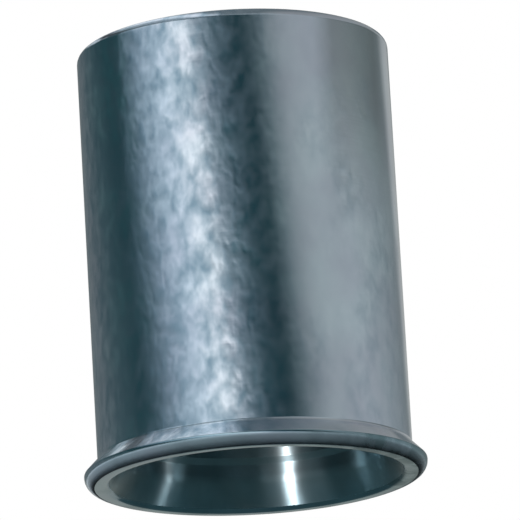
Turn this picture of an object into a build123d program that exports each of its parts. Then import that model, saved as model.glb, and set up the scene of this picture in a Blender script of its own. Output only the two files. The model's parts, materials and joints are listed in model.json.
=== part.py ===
from build123d import *
from math import radians, tan
import os

# Blind rivet nut with a small conical head, M8: one turned, drilled and tapped piece of steel.
# Millimetres. The head's face is at z = 0 and +Z runs up the axis to the threaded end.

# Outside
overall_length = 15.6
body_diameter = 11.0
head_overhang = 0.5             # how far the head stands out past the body, all round
head_rim_height = 0.45          # plain rim between the face and the cone
head_cone_angle = 90.0          # included angle of the cone behind the rim
face_edge_radius = 0.35         # rim to face
rim_top_radius = 0.1            # rim to cone
cone_root_radius = 0.15         # cone to body
end_radius = 0.3                # outer edge of the threaded end

# Mouth
lip_width = 0.3                 # flat ring that the nut stands on
lip_edge_radius = 0.25          # lip to flare
flare_angle = 60.0              # included angle of the flare inside the lip
flare_edge_radius = 0.3         # flare to land
land_wall = 0.9                 # wall outside the short land behind the flare
land_depth = 1.6                # from the face to the far edge of the land

# Bore and thread
crush_wall = 1.1                # thin wall that folds when the nut is set
step_angle = 120.0              # drill point between the grip bore and the thread, included angle
thread_length = 6.5             # from the step to the end, countersink included
thread_major_diameter = 8.0
thread_pitch = 1.25
countersink_angle = 90.0
countersink_clearance = 0.1     # how far the countersink opens past the major diameter

# Radii
body_radius = body_diameter / 2
head_radius = body_radius + head_overhang
lip_edge_reach = lip_edge_radius * tan(radians(45 - flare_angle / 4))    # from the sharp corner to the arc
mouth_radius = head_radius - face_edge_radius - lip_width - lip_edge_reach
land_radius = body_radius - land_wall
grip_radius = body_radius - crush_wall
thread_depth = 0.54127 * thread_pitch    # five eighths of the height of a 60 degree thread form
thread_minor_radius = thread_major_diameter / 2 - thread_depth
countersink_radius = thread_major_diameter / 2 + countersink_clearance

# Heights, from the head's face
cone_height = head_overhang / tan(radians(head_cone_angle / 2))
head_height = head_rim_height + cone_height
flare_depth = (mouth_radius - land_radius) / tan(radians(flare_angle / 2))
grip_start = land_depth + (land_radius - grip_radius)    # a 45 degree step
thread_start = overall_length - thread_length
grip_end = thread_start - (grip_radius - thread_minor_radius) / tan(radians(step_angle / 2))
countersink_depth = (countersink_radius - thread_minor_radius) / tan(radians(countersink_angle / 2))
thread_end = overall_length - countersink_depth

with BuildPart() as rivet_nut:
    # Solid blank: rim, cone and body turned in one section
    with BuildSketch(Plane.XZ) as blank:
        with BuildLine():
            Polyline(
                (0, 0),
                (head_radius, 0),
                (head_radius, head_rim_height),
                (body_radius, head_height),
                (body_radius, overall_length),
                (0, overall_length),
                close=True,
            )
        make_face()
        on_axis, on_body, on_rim = blank.vertices().group_by(Axis.X)
        face_edge, rim_top = on_rim.sort_by(Axis.Y)
        cone_root, end_corner = on_body.sort_by(Axis.Y)
        fillet(face_edge, radius=face_edge_radius)
        fillet(rim_top, radius=rim_top_radius)
        fillet(cone_root, radius=cone_root_radius)
        fillet(end_corner, radius=end_radius)
    revolve(axis=Axis.Z)

    # Bore: flared mouth, land, grip bore, drill point, thread at its minor diameter, countersink
    with BuildSketch(Plane.XZ) as bore:
        with BuildLine():
            Polyline(
                (0, 0),
                (mouth_radius, 0),
                (land_radius, flare_depth),
                (land_radius, land_depth),
                (grip_radius, grip_start),
                (grip_radius, grip_end),
                (thread_minor_radius, thread_start),
                (thread_minor_radius, thread_end),
                (countersink_radius, overall_length),
                (0, overall_length),
                close=True,
            )
        make_face()
        flare_edge = bore.vertices().group_by(Axis.Y)[1]
        fillet(flare_edge, radius=flare_edge_radius)
    revolve(axis=Axis.Z, mode=Mode.SUBTRACT)

    face_circles = rivet_nut.edges().filter_by(GeomType.CIRCLE).group_by(Axis.Z)[0]
    lip_edge = face_circles.sort_by(SortBy.RADIUS)[0]
    fillet(lip_edge, radius=lip_edge_radius)

rivet_nut.part.label = "rivet_nut"

os.makedirs("parts", exist_ok=True)
export_step(rivet_nut.part, "parts/rivet_nut.step")
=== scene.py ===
import json
import math

import bmesh
import bpy
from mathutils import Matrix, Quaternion, Vector


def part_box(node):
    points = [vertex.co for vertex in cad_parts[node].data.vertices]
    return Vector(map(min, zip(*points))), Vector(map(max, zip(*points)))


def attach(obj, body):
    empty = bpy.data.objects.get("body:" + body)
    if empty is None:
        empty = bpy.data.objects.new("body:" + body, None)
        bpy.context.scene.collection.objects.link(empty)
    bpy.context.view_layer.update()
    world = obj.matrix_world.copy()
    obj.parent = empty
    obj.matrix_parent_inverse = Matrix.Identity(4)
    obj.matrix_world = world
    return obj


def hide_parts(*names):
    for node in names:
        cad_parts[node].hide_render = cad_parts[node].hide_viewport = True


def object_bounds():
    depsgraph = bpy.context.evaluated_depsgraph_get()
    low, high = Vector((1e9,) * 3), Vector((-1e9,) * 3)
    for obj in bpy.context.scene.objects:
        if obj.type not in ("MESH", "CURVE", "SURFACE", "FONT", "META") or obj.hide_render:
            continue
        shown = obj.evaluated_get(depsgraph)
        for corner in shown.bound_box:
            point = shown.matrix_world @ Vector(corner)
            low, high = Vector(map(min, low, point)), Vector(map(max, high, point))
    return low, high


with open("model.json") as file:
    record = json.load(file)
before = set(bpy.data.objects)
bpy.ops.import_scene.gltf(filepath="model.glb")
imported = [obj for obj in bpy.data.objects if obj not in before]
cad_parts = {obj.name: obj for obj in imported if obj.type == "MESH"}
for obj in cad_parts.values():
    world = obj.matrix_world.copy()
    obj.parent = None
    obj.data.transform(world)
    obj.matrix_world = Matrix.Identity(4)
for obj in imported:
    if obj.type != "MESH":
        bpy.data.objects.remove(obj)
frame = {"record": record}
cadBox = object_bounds()
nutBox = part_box("rivet_nut")
mounts = {mount["name"]: mount for mount in frame["record"]["mounts"]}
print("frame loaded")

mm = 0.001                      # the nut is modelled in millimetres and brought to metres at the end
bpy.context.scene.view_settings.view_transform = "Standard"


# the camera stands low, in front of the nut, and looks up into its mouth
cameraSetup = {
    "lens": 488.0,              # mm
    "distance": 0.2475,         # m from the middle of the nut
    "clipping": (0.01, 5.0),    # m
    "elevation": -14.1,         # degrees, looking up into the mouth
    "roll": -3.3,
    "aimRight": 0.555,          # mm from the middle of the nut
    "aimUp": 0.142,
}


def makeCamera(setup):
    middle = (cadBox[0] + cadBox[1]) / 2
    rise = math.radians(setup["elevation"])
    back = Vector((0, -math.cos(rise), math.sin(rise)))
    turn = (-back).to_track_quat("-Z", "Y") @ Quaternion((0, 0, 1), math.radians(setup["roll"]))
    place = middle + back * setup["distance"]
    aim = middle + turn @ Vector((setup["aimRight"] * mm, setup["aimUp"] * mm, 0))
    swing = (-back).rotation_difference((aim - place).normalized())
    data = bpy.data.cameras.new("camera")
    data.lens = setup["lens"]
    data.clip_start, data.clip_end = setup["clipping"]
    camera = bpy.data.objects.new("camera", data)
    camera.rotation_mode = "QUATERNION"
    camera.rotation_quaternion = swing @ turn
    camera.location = place
    bpy.context.collection.objects.link(camera)
    bpy.context.scene.camera = camera


makeCamera(cameraSetup)
print("camera placed")


def addNode(tree, kind, place, values=None, **settings):
    node = tree.nodes.new("ShaderNode" + kind)
    node.location = place
    for key, value in settings.items():
        setattr(node, key, value)
    for key, value in (values or {}).items():
        node.inputs[key].default_value = value
    return node


def addSpan(tree, place, start, end, low=0.0, high=1.0, smooth=False):
    # what comes in between start and end goes out between low and high
    return addNode(
        tree, "MapRange", place, {"From Min": start, "From Max": end, "To Min": low, "To Max": high},
        interpolation_type="SMOOTHSTEP" if smooth else "LINEAR",
    )


def wire(tree, *pairs):
    # each pair is (node, output), (node, input)
    for (fromNode, output), (toNode, entry) in pairs:
        tree.links.new(fromNode.outputs[output], toNode.inputs[entry])


def setStops(ramp, stops):
    # stops run from left to right, as (position, colour)
    elements = ramp.color_ramp.elements
    while len(elements) > 1:
        elements.remove(elements[-1])
    for index, (position, colour) in enumerate(stops):
        element = elements[0] if index == 0 else elements.new(position)
        element.position = position
        element.color = (*colour, 1.0)


def newMaterial(name):
    material = bpy.data.materials.new(name)
    material.use_nodes = True
    material.node_tree.nodes.clear()
    return material, material.node_tree


def newGroup(name, inputs, outputs):
    group = bpy.data.node_groups.new(name, "ShaderNodeTree")
    for socketName, kind, value in inputs:
        socket = group.interface.new_socket(socketName, in_out="INPUT", socket_type="NodeSocket" + kind)
        if value is not None:
            socket.default_value = value
    for socketName, kind in outputs:
        group.interface.new_socket(socketName, in_out="OUTPUT", socket_type="NodeSocket" + kind)
    return group, group.nodes.new("NodeGroupInput"), group.nodes.new("NodeGroupOutput")


# soft pale and dark patches in the plating, strong on one side of the nut and in clouds elsewhere
mottleShape = {
    "alongAxis": 0.62,          # under 1 draws the patches out along the axis
    "patchSpan": (0.30, 0.74),  # noise over which bare plating turns into a full patch
    "cloudSpan": (0.4, 0.7),    # and over which a cloud of patches fills in
    "cloudStrength": 0.5,
    "sideSpan": (0.5, 0.85),    # cosine of the angle from the strong side
    "cloudBlend": 0.3,          # clouds and strong side meet softly: a hard edge would show as relief
    "leastBlend": 0.1,
}


def makePlateMottle(shape):
    group, start, end = newGroup(
        "plateMottle",
        [
            ("Vector", "Vector", None),
            ("Patch Size", "Float", 0.6),
            ("Cloud Size", "Float", 2.5),
            ("Strong Side", "Vector", (0.0, 0.0, 0.0)),
            ("Least Strength", "Float", 0.1),
            ("Cover", "Float", 0.0),
        ],
        [("Mask", "Float"), ("Height", "Float")],
    )
    stretch = (1.0, 1.0, shape["alongAxis"])
    drawnOut = addNode(group, "VectorMath", (-1100, 0), {1: stretch}, operation="MULTIPLY")
    patchScale = addNode(group, "Math", (-1100, 250), {0: 1.0}, operation="DIVIDE")
    cloudScale = addNode(group, "Math", (-1100, -200), {0: 1.0}, operation="DIVIDE")
    patches = addNode(group, "TexNoise", (-850, 250), {"Detail": 1.8, "Roughness": 0.5, "Distortion": 0.15})
    swells = addNode(group, "TexNoise", (-850, 0), {"Detail": 1.3, "Roughness": 0.45, "Distortion": 0.2})
    clouds = addNode(group, "TexNoise", (-850, -250), {"Detail": 2.0, "Roughness": 0.5})
    spread = addNode(group, "Math", (-670, 400), operation="ADD")
    sharper = addSpan(group, (-500, 250), *shape["patchSpan"])
    gather = addSpan(group, (-620, -250), *shape["cloudSpan"], high=shape["cloudStrength"], smooth=True)
    outward = addNode(group, "VectorMath", (-850, -500), {1: (1.0, 1.0, 0.0)}, operation="MULTIPLY")
    heading = addNode(group, "VectorMath", (-670, -500), operation="NORMALIZE")
    facing = addNode(group, "VectorMath", (-490, -500), operation="DOT_PRODUCT")
    side = addSpan(group, (-310, -500), *shape["sideSpan"], smooth=True)
    stronger = addNode(group, "Math", (-130, -300), {2: shape["cloudBlend"]}, operation="SMOOTH_MAX")
    strength = addNode(group, "Math", (50, -300), {2: shape["leastBlend"]}, operation="SMOOTH_MAX")
    mask = addNode(group, "Math", (250, 100), operation="MULTIPLY")
    height = addNode(group, "Math", (250, -100), operation="MULTIPLY")
    wire(
        group,
        ((start, "Vector"), (drawnOut, 0)),
        ((start, "Patch Size"), (patchScale, 1)),
        ((start, "Cloud Size"), (cloudScale, 1)),
        ((drawnOut, 0), (patches, "Vector")),
        ((drawnOut, 0), (swells, "Vector")),
        ((drawnOut, 0), (clouds, "Vector")),
        ((patchScale, 0), (patches, "Scale")),
        ((patchScale, 0), (swells, "Scale")),
        ((cloudScale, 0), (clouds, "Scale")),
        ((patches, 0), (spread, 0)),
        ((start, "Cover"), (spread, 1)),
        ((spread, 0), (sharper, "Value")),
        ((clouds, 0), (gather, "Value")),
        ((start, "Vector"), (outward, 0)),
        ((outward, 0), (heading, 0)),
        ((heading, 0), (facing, 0)),
        ((start, "Strong Side"), (facing, 1)),
        ((facing, "Value"), (side, "Value")),
        ((gather, 0), (stronger, 0)),
        ((side, 0), (stronger, 1)),
        ((stronger, 0), (strength, 0)),
        ((start, "Least Strength"), (strength, 1)),
        ((sharper, 0), (mask, 0)),
        ((strength, 0), (mask, 1)),
        ((swells, 0), (height, 0)),
        ((strength, 0), (height, 1)),
        ((mask, 0), (end, "Mask")),
        ((height, 0), (end, "Height")),
    )
    return group


def makeTurningRings():
    # fine rings left by the lathe, running round the axis on walls and faces alike
    group, start, end = newGroup(
        "turningRings",
        [("Vector", "Vector", None), ("Spacing", "Float", 0.06), ("Wander", "Float", 0.02)],
        [("Height", "Float")],
    )
    split = addNode(group, "SeparateXYZ", (-1000, 0))
    flat = addNode(group, "CombineXYZ", (-820, 120))
    radius = addNode(group, "VectorMath", (-640, 120), operation="LENGTH")
    section = addNode(group, "CombineXYZ", (-460, 60))
    drift = addNode(group, "VectorMath", (-640, -120), operation="SCALE")
    added = addNode(group, "VectorMath", (-280, 0), operation="ADD")
    scale = addNode(group, "Math", (-460, -200), {0: 1.0}, operation="DIVIDE")
    rings = addNode(group, "TexNoise", (-100, 0), {"Detail": 2.0, "Roughness": 0.6})
    wire(
        group,
        ((start, "Vector"), (split, 0)),
        ((split, "X"), (flat, "X")),
        ((split, "Y"), (flat, "Y")),
        ((flat, 0), (radius, 0)),
        ((radius, "Value"), (section, "X")),
        ((split, "Z"), (section, "Z")),
        ((start, "Vector"), (drift, 0)),
        ((start, "Wander"), (drift, "Scale")),
        ((section, 0), (added, 0)),
        ((drift, 0), (added, 1)),
        ((start, "Spacing"), (scale, 1)),
        ((added, 0), (rings, "Vector")),
        ((scale, 0), (rings, "Scale")),
        ((rings, 0), (end, "Height")),
    )
    return group


plateMottle = makePlateMottle(mottleShape)
turningRings = makeTurningRings()


# the body and the cone are bright, with patches facing the front left
outsideFinish = {
    "paleZinc": (0.77, 0.87, 0.96),
    "warmTint": (0.68, 0.73, 0.84),     # broad haze over the pale zinc
    "deepZinc": (0.32, 0.46, 0.56),     # patches
    "patchSize": 0.42,          # mm
    "cloudSize": 2.6,           # mm
    "strongSide": (-0.6, -0.8, 0.0),
    "leastStrength": 0.08,
    "cover": 0.0,               # widens the patches
    "roughness": (0.11, 0.27),  # bare plating and patches
    "patchBump": 0.014,         # mm
    "ringBump": 0.0004,         # mm
    "ringSpacing": 0.08,        # mm
    "brushed": 0.5,             # how far reflections are drawn out along the axis
}

# the head's rim and face are painted darker than the body, a painted shade for the underside, with patches
# stronger on one side
headFinish = {
    "paleZinc": (0.44, 0.60, 0.68),
    "warmTint": (0.46, 0.58, 0.68),
    "deepZinc": (0.19, 0.30, 0.34),
    "patchSize": 0.7,
    "cloudSize": 2.0,
    "strongSide": (0.97, -0.25, 0.0),
    "leastStrength": 0.08,
    "cover": 0.2,
    "roughness": (0.12, 0.30),
    "patchBump": 0.010,
    "ringBump": 0.0004,
    "ringSpacing": 0.08,
    "brushed": 0.5,
}

# inside, the tools leave coarser rings and a rougher film, and the zinc is painted darker: a painted shade
# for the hollow
boreFinish = {
    "paleZinc": (0.44, 0.62, 0.70),
    "warmTint": (0.46, 0.52, 0.54),
    "deepZinc": (0.20, 0.32, 0.37),
    "patchSize": 0.8,
    "cloudSize": 2.0,
    "strongSide": (0.0, 0.0, 0.0),
    "leastStrength": 0.40,
    "cover": 0.0,
    "roughness": (0.32, 0.40),
    "patchBump": 0.020,
    "ringBump": 0.0020,
    "ringSpacing": 0.12,
    "brushed": 1.0,
}

# a broad haze shifts the pale zinc towards its warm tint
hazeShape = {
    "scale": 0.35,              # per mm
    "span": (0.35, 0.65),
}


def makeZinc(name, finish):
    material, tree = newMaterial(name)
    place = addNode(tree, "TexCoord", (-1500, 0))
    inMm = addNode(tree, "Mapping", (-1300, 0), {"Scale": (1 / mm, 1 / mm, 1 / mm)})
    mottle = addNode(
        tree, "Group", (-1050, 200),
        {
            "Patch Size": finish["patchSize"],
            "Cloud Size": finish["cloudSize"],
            "Strong Side": finish["strongSide"],
            "Least Strength": finish["leastStrength"],
            "Cover": finish["cover"],
        },
        node_tree=plateMottle,
    )
    rings = addNode(
        tree, "Group", (-1050, -250), {"Spacing": finish["ringSpacing"]}, node_tree=turningRings,
    )
    haze = addNode(tree, "TexNoise", (-1050, 500), {"Scale": hazeShape["scale"], "Detail": 2.0})
    hazeShare = addSpan(tree, (-830, 500), *hazeShape["span"])
    ground = addNode(
        tree, "Mix", (-600, 400),
        {"A": (*finish["paleZinc"], 1), "B": (*finish["warmTint"], 1)}, data_type="RGBA",
    )
    colour = addNode(tree, "Mix", (-350, 300), {"B": (*finish["deepZinc"], 1)}, data_type="RGBA")
    low, high = finish["roughness"]
    rough = addSpan(tree, (-600, 0), 0.0, 1.0, low, high)
    ringBump = addNode(tree, "Bump", (-600, -300), {"Strength": 1.0, "Distance": finish["ringBump"] * mm})
    patchBump = addNode(tree, "Bump", (-350, -200), {"Strength": 1.0, "Distance": finish["patchBump"] * mm})
    # the tangent runs round the axis, and a quarter turn sets the reflections upright
    around = addNode(tree, "VectorMath", (-350, -450), {1: (0.0, 0.0, 1.0)}, operation="CROSS_PRODUCT")
    shader = addNode(
        tree, "BsdfPrincipled", (0, 100),
        {"Metallic": 1.0, "Anisotropic": finish["brushed"], "Anisotropic Rotation": 0.25},
    )
    out = addNode(tree, "OutputMaterial", (300, 100))
    wire(
        tree,
        ((place, "Object"), (inMm, "Vector")),
        ((inMm, 0), (mottle, "Vector")),
        ((inMm, 0), (rings, "Vector")),
        ((inMm, 0), (haze, "Vector")),
        ((inMm, 0), (around, 0)),
        ((haze, 0), (hazeShare, "Value")),
        ((hazeShare, 0), (ground, "Factor")),
        ((ground, "Result"), (colour, "A")),
        ((mottle, "Mask"), (colour, "Factor")),
        ((mottle, "Mask"), (rough, "Value")),
        ((rings, "Height"), (ringBump, "Height")),
        ((ringBump, 0), (patchBump, "Normal")),
        ((mottle, "Height"), (patchBump, "Height")),
        ((colour, "Result"), (shader, "Base Color")),
        ((rough, 0), (shader, "Roughness")),
        ((patchBump, 0), (shader, "Normal")),
        ((around, 0), (shader, "Tangent")),
        ((shader, 0), (out, "Surface")),
    )
    return material


zincOutside = makeZinc("zincOutside", outsideFinish)
# painted shade: a darker copy of the zinc for the head's underside
zincHeadShaded = makeZinc("zincHeadShaded", headFinish)
# painted shade: a darker copy of the zinc for the bore
zincBoreShaded = makeZinc("zincBoreShaded", boreFinish)
print("zinc finishes made")


# the nut is one turned section spun round the axis, then tapped
nutShape = {
    "aroundSteps": 192,
    "cornerSteps": 6,
    "rimHeight": 0.45,          # mm, as all lengths here
    "coneWidth": 0.5,
    "faceEdgeRadius": 0.39,
    "rimTopRadius": 0.06,
    "coneRootRadius": 0.15,
    "endRadius": 0.3,
    "lipWidth": 0.26,
    "lipEdgeRadius": 0.25,
    "landRadius": 4.6,
    "landDepth": 1.6,
    "flareSlope": 30.0,         # degrees from the axis
    "flareEdgeRadius": 0.7,
    "countersinkRadius": 4.1,
    "brokenEdge": 0.04,         # radius on the edges that the drill and the tool leave
    "mergeDistance": 0.0001,
    "boreFacing": -0.05,        # below this, a face's normal and its place point opposite ways
    "sharpAngle": 32.0,
}

threadShape = {
    "aroundSteps": 192,
    "pitch": 1.25,
    "majorRadius": 4.0,
    "coreRadius": 3.2,          # the tap's own core, clear of the crests
    "flankSlope": 30.0,
    "rootFlat": 1 / 8,          # share of the pitch
    "overrun": 0.9,             # how far the tap stands out of the threaded length, at each end
    "leadIn": 1.5,              # turns that are spun below the low cut, and cut away
    "spareTurns": 2,
    "mergeDistance": 0.002,
    "cutDistance": 0.00001,
}


def wallOf(name):
    # radius, low end and high end of a round wall, in mm
    mount = mounts[name]
    middle = mount["pos_m"][2] / mm
    half = mount["dims"]["length_mm"] / 2
    return mount["dims"]["r_mm"], middle - half, middle + half


def sectionCorners(shape):
    # (radius, height, rounding) of each corner, from the lip outwards and up, then down the bore
    headRadius = min(-nutBox[0].x, -nutBox[0].y, nutBox[1].x, nutBox[1].y) / mm
    length = nutBox[1].z / mm
    bodyRadius = mounts["shank"]["dims"]["r_mm"]
    minorRadius, threadStart, threadEnd = wallOf("thread")
    gripRadius, gripStart, gripEnd = wallOf("grip_bore")
    slope = math.radians(shape["flareSlope"])
    lipEdgeReach = shape["lipEdgeRadius"] * math.tan(math.pi / 4 - slope / 2)
    mouthRadius = headRadius - shape["faceEdgeRadius"] - shape["lipWidth"] - lipEdgeReach
    flareDepth = (mouthRadius - shape["landRadius"]) / math.tan(slope)
    broken = shape["brokenEdge"]
    return [
        (mouthRadius, 0.0, shape["lipEdgeRadius"]),
        (headRadius, 0.0, shape["faceEdgeRadius"]),
        (headRadius, shape["rimHeight"], shape["rimTopRadius"]),
        (bodyRadius, shape["rimHeight"] + shape["coneWidth"], shape["coneRootRadius"]),
        (bodyRadius, length, shape["endRadius"]),
        (shape["countersinkRadius"], length, broken),
        (minorRadius, threadEnd, 0.0),
        (minorRadius, threadStart, 0.0),
        (gripRadius, gripEnd, broken),
        (gripRadius, gripStart, broken),
        (shape["landRadius"], shape["landDepth"], broken),
        (shape["landRadius"], flareDepth, shape["flareEdgeRadius"]),
    ]


def roundCorner(work, corner, radius, steps):
    # the arc starts where a circle of this radius touches the two sides
    sides = [edge.other_vert(corner).co - corner.co for edge in corner.link_edges]
    reach = radius / math.tan(sides[0].angle(sides[1]) / 2)
    bmesh.ops.bevel(
        work, geom=[corner], offset=reach, offset_type="OFFSET", segments=steps,
        profile=0.5, affect="VERTICES", material=-1,
    )


def spinRound(work, turns, stepsPerTurn, rise=0.0):
    # rise is what a screw climbs in one turn
    steps = round(turns * stepsPerTurn)
    bmesh.ops.spin(
        work, geom=work.verts[:] + work.edges[:], cent=(0, 0, 0), axis=(0, 0, 1),
        dvec=(0, 0, rise / stepsPerTurn), angle=math.tau * turns, steps=steps, use_merge=rise == 0.0,
    )


def drawProfile(work, points, closed):
    verts = [work.verts.new((radius, 0, height)) for radius, height in points]
    ends = verts[1:] + verts[:1] if closed else verts[1:]
    for first, second in zip(verts, ends):
        work.edges.new((first, second))
    return verts


def asObject(work, name):
    mesh = bpy.data.meshes.new(name)
    work.to_mesh(mesh)
    work.free()
    made = bpy.data.objects.new(name, mesh)
    bpy.context.collection.objects.link(made)
    return made


def makeBlank(shape):
    work = bmesh.new()
    corners = sectionCorners(shape)
    verts = drawProfile(work, [corner[:2] for corner in corners], closed=True)
    for vert, (_, _, rounding) in zip(verts, corners):
        if rounding:
            roundCorner(work, vert, rounding, shape["cornerSteps"])
    spinRound(work, 1, shape["aroundSteps"])
    bmesh.ops.recalc_face_normals(work, faces=work.faces[:])
    return asObject(work, "nutBlank")


def makeTap(shape):
    # one tooth of the tap, spun up the axis as a right-hand screw, then cut flat at both ends
    _, threadStart, threadEnd = wallOf("thread")
    pitch, core, major = shape["pitch"], shape["coreRadius"], shape["majorRadius"]
    flank = (major - core) * math.tan(math.radians(shape["flankSlope"]))
    root = pitch * shape["rootFlat"]
    valley = pitch - 2 * flank - root
    low = threadStart - shape["overrun"]
    high = threadEnd + shape["overrun"] + pitch
    turns = math.ceil((high - low) / pitch) + shape["spareTurns"]
    base = low - shape["leadIn"] * pitch
    tooth = [
        (core, base),
        (core, base + valley),
        (major, base + valley + flank),
        (major, base + valley + flank + root),
        (core, base + pitch),
    ]
    work = bmesh.new()
    drawProfile(work, tooth, closed=False)
    spinRound(work, turns, shape["aroundSteps"], rise=pitch)
    bmesh.ops.remove_doubles(work, verts=work.verts[:], dist=shape["mergeDistance"])
    for height, clearsBelow in ((low, True), (high, False)):
        cut = bmesh.ops.bisect_plane(
            work, geom=work.verts[:] + work.edges[:] + work.faces[:], dist=shape["cutDistance"],
            plane_co=(0, 0, height), plane_no=(0, 0, 1),
            clear_inner=clearsBelow, clear_outer=not clearsBelow,
        )
        rim = [item for item in cut["geom_cut"] if isinstance(item, bmesh.types.BMEdge)]
        bmesh.ops.edgeloop_fill(work, edges=rim)
    bmesh.ops.recalc_face_normals(work, faces=work.faces[:])
    return asObject(work, "tap")


def tapped(blank, tap):
    cut = blank.modifiers.new("tap", "BOOLEAN")
    cut.operation = "DIFFERENCE"
    cut.solver = "EXACT"
    cut.object = tap
    seen = blank.evaluated_get(bpy.context.evaluated_depsgraph_get())
    mesh = bpy.data.meshes.new_from_object(seen)
    for spent in (blank, tap):
        data = spent.data
        bpy.data.objects.remove(spent)
        bpy.data.meshes.remove(data)
    return mesh


def finishOf(face, shape):
    middle = face.calc_center_median()
    facing = face.normal.x * middle.x + face.normal.y * middle.y
    if facing < shape["boreFacing"] and middle.z > shape["lipEdgeRadius"] / 2:
        return zincBoreShaded
    return zincHeadShaded if middle.z < shape["rimHeight"] else zincOutside


def makeNut(shape):
    mesh = tapped(makeBlank(shape), makeTap(threadShape))
    mesh.name = "rivetNut"
    # the slots are filled first, because filling them sets every face back to the first one
    finishes = [zincOutside, zincHeadShaded, zincBoreShaded]
    mesh.materials.clear()
    for finish in finishes:
        mesh.materials.append(finish)
    work = bmesh.new()
    work.from_mesh(mesh)
    bmesh.ops.remove_doubles(work, verts=work.verts[:], dist=shape["mergeDistance"])
    for face in work.faces:
        face.material_index = finishes.index(finishOf(face, shape))
        face.smooth = True
    bmesh.ops.scale(work, vec=(mm, mm, mm), verts=work.verts[:])
    openEdges = [edge for edge in work.edges if not edge.is_manifold]
    print("nut mesh:", len(work.faces), "faces,", len(openEdges), "open edges")
    work.to_mesh(mesh)
    work.free()
    mesh.set_sharp_from_angle(angle=math.radians(shape["sharpAngle"]))
    nut = bpy.data.objects.new("rivetNut", mesh)
    bpy.context.collection.objects.link(nut)
    even = nut.modifiers.new("evenShading", "WEIGHTED_NORMAL")
    even.keep_sharp = True
    return nut


nut = makeNut(nutShape)
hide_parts("rivet_nut")
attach(nut, "root")
print("nut turned and tapped")


def whiteRays(tree, place):
    # rays that should meet the white studio: the camera's own, and those that metal or glass sends on
    across, up = place
    path = addNode(tree, "LightPath", (across, up))
    either = addNode(tree, "Math", (across + 200, up), operation="MAXIMUM")
    anyOfThree = addNode(tree, "Math", (across + 400, up), operation="MAXIMUM")
    wire(
        tree,
        ((path, "Is Camera Ray"), (either, 0)),
        ((path, "Is Glossy Ray"), (either, 1)),
        ((either, 0), (anyOfThree, 0)),
        ((path, "Is Transmission Ray"), (anyOfThree, 1)),
    )
    return anyOfThree


# the floor is a pale table that can be seen only from above, open under the nut's mouth, with a painted
# shade round the nut's foot
floorSetup = {
    "aroundSteps": 96,
    "openingRadius": 5.66 * mm,     # just outside the ring that the nut stands on
    "nearRadius": 0.03,         # m, where the small faces near the nut end
    "outerRadius": 0.9,
    "colour": (0.86, 0.87, 0.88),
    "paintedFootShade": 0.58,           # painted shade: share of that colour kept close to the foot, where little light gets in
    "footSpan": (0.0058, 0.0100),   # m from the axis, across which the painted shade fades out
    "fadeSpan": (0.04, 0.22),   # across here it pales to the white of the backdrop
}


def makeFloorFinish(setup):
    material, tree = newMaterial("paleTable")
    place = addNode(tree, "TexCoord", (-900, 100))
    away = addNode(tree, "VectorMath", (-700, 100), operation="LENGTH")
    fade = addSpan(tree, (-500, 100), *setup["fadeSpan"], smooth=True)
    seen = whiteRays(tree, (-900, 400))
    share = addNode(tree, "Math", (-280, 250), operation="MULTIPLY")
    # painted shade: the floor's colour is darkened close to the nut's foot
    foot = addSpan(tree, (-700, -150), *setup["footSpan"], low=setup["paintedFootShade"], smooth=True)
    tone = addNode(tree, "VectorMath", (-500, -150), {0: setup["colour"]}, operation="SCALE")
    paint = addNode(tree, "BsdfDiffuse", (-280, 0))
    white = addNode(tree, "Emission", (-280, -150), {"Color": (1, 1, 1, 1), "Strength": 1.0})
    table = addNode(tree, "MixShader", (-50, 100))
    side = addNode(tree, "NewGeometry", (-280, 500))
    clear = addNode(tree, "BsdfTransparent", (-50, -80))
    oneSided = addNode(tree, "MixShader", (180, 100))
    out = addNode(tree, "OutputMaterial", (400, 100))
    wire(
        tree,
        ((place, "Object"), (away, 0)),
        ((away, "Value"), (fade, "Value")),
        ((away, "Value"), (foot, "Value")),
        ((foot, 0), (tone, "Scale")),
        ((tone, 0), (paint, "Color")),
        ((seen, 0), (share, 0)),
        ((fade, 0), (share, 1)),
        ((share, 0), (table, 0)),
        ((paint, 0), (table, 1)),
        ((white, 0), (table, 2)),
        ((side, "Backfacing"), (oneSided, 0)),
        ((table, 0), (oneSided, 1)),
        ((clear, 0), (oneSided, 2)),
        ((oneSided, 0), (out, "Surface")),
    )
    return material


def makeFloor(setup):
    work = bmesh.new()
    radii = (setup["openingRadius"], setup["nearRadius"], setup["outerRadius"])
    drawProfile(work, [(radius, 0) for radius in radii], closed=False)
    spinRound(work, 1, setup["aroundSteps"])
    bmesh.ops.recalc_face_normals(work, faces=work.faces[:])
    if work.faces[:][0].normal.z < 0:
        bmesh.ops.reverse_faces(work, faces=work.faces[:])
    floor = asObject(work, "floor")
    floor.data.materials.append(makeFloorFinish(setup))


makeFloor(floorSetup)
print("floor laid")


# the studio has a white world, grey and dark cards for the metal to reflect, and soft lamps
studio = {
    "fillLight": 0.55,          # what the world gives to plain surfaces
    "wallSteps": 128,
    "cardSteps": 64,
    "cardRadius": 0.11,         # m, as all heights here
    "cardLow": -0.05,
    "cardHigh": 0.09,
    "lowBand": (-0.010, -0.004),    # below this the wall has its low tones
    "highBand": (0.066, 0.076),     # and above this its high ones
    "dullBand": (0.036, 0.0415),    # and from here up a dull patch
    "leanMiddle": 0.0355,       # above this height the body tones lean to the left, below it to the right
    "leanPerMetre": 2.6,        # turns
    "underTone": (0.040, 0.075, 0.082),
    "cornerSpan": (0.92, 1.1),  # where the overhead card's far left edge dims, in card radii
    "cornerTone": 0.12,         # and what is left of its tones there
}

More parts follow.
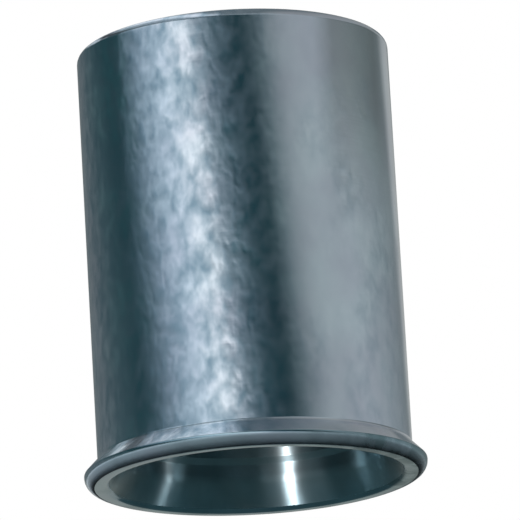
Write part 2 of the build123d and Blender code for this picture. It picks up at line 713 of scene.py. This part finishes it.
# tones of the card wall, by degrees to the right of the camera as seen from above the nut
bodyTones = [
    (-90, (0.020, 0.060, 0.066)),
    (-78, (0.070, 0.125, 0.140)),
    (-66, (0.280, 0.350, 0.400)),
    (-54, (0.500, 0.580, 0.640)),
    (-42, (0.740, 0.800, 0.860)),
    (-33, (1.000, 1.000, 1.000)),
    (-22, (1.000, 1.000, 1.000)),
    (-16, (0.260, 0.310, 0.350)),
    (-8, (0.095, 0.165, 0.190)),
    (2, (0.018, 0.056, 0.066)),
    (20, (0.004, 0.028, 0.034)),
    (28, (0.110, 0.155, 0.160)),
    (34, (0.200, 0.235, 0.240)),
    (42, (0.300, 0.325, 0.330)),
    (53, (0.370, 0.400, 0.400)),
    (81, (0.400, 0.430, 0.435)),
    (97, (0.370, 0.400, 0.400)),
    (116, (0.290, 0.325, 0.325)),
    (144, (0.200, 0.225, 0.225)),
    (154, (0.400, 0.410, 0.400)),
    (170, (0.400, 0.410, 0.400)),
    (178, (0.160, 0.185, 0.190)),
    (216, (0.140, 0.165, 0.170)),
    (244, (0.060, 0.105, 0.110)),
    (262, (0.022, 0.062, 0.068)),
    (270, (0.020, 0.060, 0.066)),
]

# what is left of the body tones higher up: a duller patch on the right
dullTones = [
    (60, (1.0, 1.0, 1.0)),
    (78, (0.56, 0.57, 0.54)),
    (126, (0.56, 0.57, 0.54)),
    (150, (1.0, 1.0, 1.0)),
]

# the tones at the foot of the wall, and at its top
lowTones = [
    (-90, (0.050, 0.080, 0.085)),
    (-68, (0.050, 0.080, 0.085)),
    (-56, (0.380, 0.450, 0.470)),
    (-8, (0.380, 0.450, 0.470)),
    (-3, (0.035, 0.065, 0.070)),
    (120, (0.045, 0.075, 0.080)),
    (148, (0.090, 0.110, 0.105)),
    (156, (0.320, 0.330, 0.305)),
    (188, (0.320, 0.330, 0.305)),
    (196, (0.060, 0.080, 0.080)),
    (270, (0.050, 0.080, 0.085)),
]
highTones = [
    (-90, (0.060, 0.085, 0.090)),
    (-75, (0.300, 0.340, 0.360)),
    (0, (0.300, 0.340, 0.360)),
    (60, (0.340, 0.360, 0.360)),
    (176, (0.300, 0.310, 0.300)),
    (192, (0.580, 0.620, 0.630)),
    (230, (0.620, 0.670, 0.680)),
    (242, (0.100, 0.130, 0.140)),
    (270, (0.060, 0.085, 0.090)),
]

# the card overhead, from the left side to the right
overheadTones = [
    (0.00, (0.060, 0.090, 0.095)),
    (0.09, (0.120, 0.160, 0.170)),
    (0.16, (0.300, 0.340, 0.360)),
    (0.28, (0.380, 0.420, 0.450)),
    (0.34, (0.880, 0.910, 0.940)),
    (0.40, (0.880, 0.910, 0.940)),
    (0.46, (0.180, 0.210, 0.220)),
    (0.60, (0.160, 0.185, 0.190)),
    (0.73, (0.300, 0.310, 0.305)),
    (1.00, (0.340, 0.345, 0.335)),
]


def makeWorld(fill):
    world = bpy.data.worlds.new("whiteStudio")
    bpy.context.scene.world = world
    world.use_nodes = True
    tree = world.node_tree
    tree.nodes.clear()
    seen = whiteRays(tree, (-800, 100))
    colour = addNode(
        tree, "Mix", (-150, 100), {"A": (fill, fill, fill, 1), "B": (1, 1, 1, 1)}, data_type="RGBA"
    )
    light = addNode(tree, "Background", (50, 100), {"Strength": 1.0})
    out = addNode(tree, "OutputWorld", (250, 100))
    wire(
        tree,
        ((seen, 0), (colour, "Factor")),
        ((colour, "Result"), (light, "Color")),
        ((light, 0), (out, "Surface")),
    )


def onlyInReflections(card):
    card.visible_camera = False
    card.visible_diffuse = False
    card.visible_shadow = False
    card.visible_volume_scatter = False


def tonesByBearing(tree, bearing, place, tones):
    # the ramp starts at the nut's left side, where the bearing is -90
    ramp = addNode(tree, "ValToRGB", place)
    setStops(ramp, [((degrees + 90) / 360, shade) for degrees, shade in tones])
    wire(tree, ((bearing, 0), (ramp, 0)))
    return ramp


def makeCardWall(setup):
    work = bmesh.new()
    radius = setup["cardRadius"]
    drawProfile(work, [(radius, setup["cardLow"]), (radius, setup["cardHigh"])], closed=False)
    spinRound(work, 1, setup["wallSteps"])
    wall = asObject(work, "cardWall")
    material, tree = newMaterial("cardWall")
    place = addNode(tree, "TexCoord", (-900, 0))
    bearing = addNode(tree, "TexGradient", (-700, 100), gradient_type="RADIAL")
    split = addNode(tree, "SeparateXYZ", (-700, -300))
    lean = setup["leanPerMetre"]
    atFloor = -lean * setup["leanMiddle"]
    shift = addNode(tree, "Math", (-900, 400), {1: lean, 2: atFloor}, operation="MULTIPLY_ADD")
    leaning = addNode(tree, "Math", (-700, 400), operation="ADD")
    low = tonesByBearing(tree, bearing, (-450, 500), lowTones)
    body = tonesByBearing(tree, leaning, (-450, 250), bodyTones)
    high = tonesByBearing(tree, bearing, (-450, 0), highTones)
    dull = tonesByBearing(tree, bearing, (-450, 750), dullTones)
    aboveMiddle = addSpan(tree, (-450, 1000), *setup["dullBand"])
    dulled = addNode(tree, "Mix", (-150, 800), {"A": (1, 1, 1, 1)}, data_type="RGBA")
    bodyTone = addNode(tree, "Mix", (50, 500), {"Factor": 1.0}, data_type="RGBA", blend_type="MULTIPLY")
    aboveLow = addSpan(tree, (-450, -250), *setup["lowBand"])
    aboveBody = addSpan(tree, (-450, -500), *setup["highBand"])
    lower = addNode(tree, "Mix", (-150, 200), data_type="RGBA")
    tone = addNode(tree, "Mix", (50, 100), data_type="RGBA")
    glow = addNode(tree, "Emission", (250, 0), {"Strength": 1.0})
    out = addNode(tree, "OutputMaterial", (450, 0))
    wire(
        tree,
        ((place, "Object"), (bearing, 0)),
        ((place, "Object"), (split, 0)),
        ((split, "Z"), (shift, 0)),
        ((bearing, 0), (leaning, 0)),
        ((shift, 0), (leaning, 1)),
        ((split, "Z"), (aboveMiddle, "Value")),
        ((aboveMiddle, 0), (dulled, "Factor")),
        ((dull, 0), (dulled, "B")),
        ((body, 0), (bodyTone, "A")),
        ((dulled, "Result"), (bodyTone, "B")),
        ((split, "Z"), (aboveLow, "Value")),
        ((split, "Z"), (aboveBody, "Value")),
        ((aboveLow, 0), (lower, "Factor")),
        ((low, 0), (lower, "A")),
        ((bodyTone, "Result"), (lower, "B")),
        ((aboveBody, 0), (tone, "Factor")),
        ((lower, "Result"), (tone, "A")),
        ((high, 0), (tone, "B")),
        ((tone, "Result"), (glow, "Color")),
        ((glow, 0), (out, "Surface")),
    )
    wall.data.materials.append(material)
    onlyInReflections(wall)


def makeCard(name, setup, height, tones, cornerTone=1.0):
    # a round card whose tones run from the left side to the right, and change at its far left edge
    radius = setup["cardRadius"]
    cornerStart, cornerEnd = setup["cornerSpan"]
    work = bmesh.new()
    bmesh.ops.create_circle(work, cap_ends=True, segments=setup["cardSteps"], radius=radius)
    bmesh.ops.translate(work, vec=(0, 0, height), verts=work.verts[:])
    card = asObject(work, name)
    material, tree = newMaterial(name)
    place = addNode(tree, "TexCoord", (-800, 0))
    split = addNode(tree, "SeparateXYZ", (-600, 0))
    across = addSpan(tree, (-400, 0), -radius, radius)
    shade = addNode(tree, "ValToRGB", (-200, 0))
    farLeft = addNode(tree, "VectorMath", (-400, -250), {1: (-1.0, 1.0, 0.0)}, operation="DOT_PRODUCT")
    dimmer = addSpan(tree, (-200, -250), cornerStart * radius, cornerEnd * radius, low=1.0, high=cornerTone)
    glow = addNode(tree, "Emission", (100, 0))
    out = addNode(tree, "OutputMaterial", (300, 0))
    setStops(shade, tones)
    wire(
        tree,
        ((place, "Object"), (split, 0)),
        ((split, "X"), (across, "Value")),
        ((across, 0), (shade, 0)),
        ((shade, 0), (glow, "Color")),
        ((place, "Object"), (farLeft, 0)),
        ((farLeft, "Value"), (dimmer, "Value")),
        ((dimmer, 0), (glow, "Strength")),
        ((glow, 0), (out, "Surface")),
    )
    card.data.materials.append(material)
    onlyInReflections(card)


# place by bearing and rise seen from the nut, in degrees; distance and size in metres, power in watts
lamps = {
    "topSoftbox": {
        "bearing": -135, "rise": 58, "distance": 0.34, "size": (0.24, 0.24), "power": 0.36,
    },
    "mouthStrip": {
        "bearing": -30, "rise": -18, "distance": 0.098, "size": (0.011, 0.02), "power": 0.038,
    },
    "mouthGlint": {
        "bearing": 87, "rise": -18, "distance": 0.098, "size": (0.006, 0.02), "power": 0.003,
    },
}


def makeLamp(name, setup):
    data = bpy.data.lights.new(name, "AREA")
    data.shape = "RECTANGLE"
    data.size, data.size_y = setup["size"]
    data.energy = setup["power"]
    bearing, rise = math.radians(setup["bearing"]), math.radians(setup["rise"])
    level = math.cos(rise)
    away = Vector((math.sin(bearing) * level, -math.cos(bearing) * level, math.sin(rise)))
    lamp = bpy.data.objects.new(name, data)
    lamp.location = away * setup["distance"]
    lamp.rotation_mode = "QUATERNION"
    lamp.rotation_quaternion = away.to_track_quat("Z", "Y")
    bpy.context.collection.objects.link(lamp)


makeWorld(studio["fillLight"])
makeCardWall(studio)
makeCard("underCard", studio, studio["cardLow"], [(0.0, studio["underTone"])])
makeCard("overheadCard", studio, studio["cardHigh"], overheadTones, studio["cornerTone"])
for lampName, lampSetup in lamps.items():
    makeLamp(lampName, lampSetup)
print("studio set")
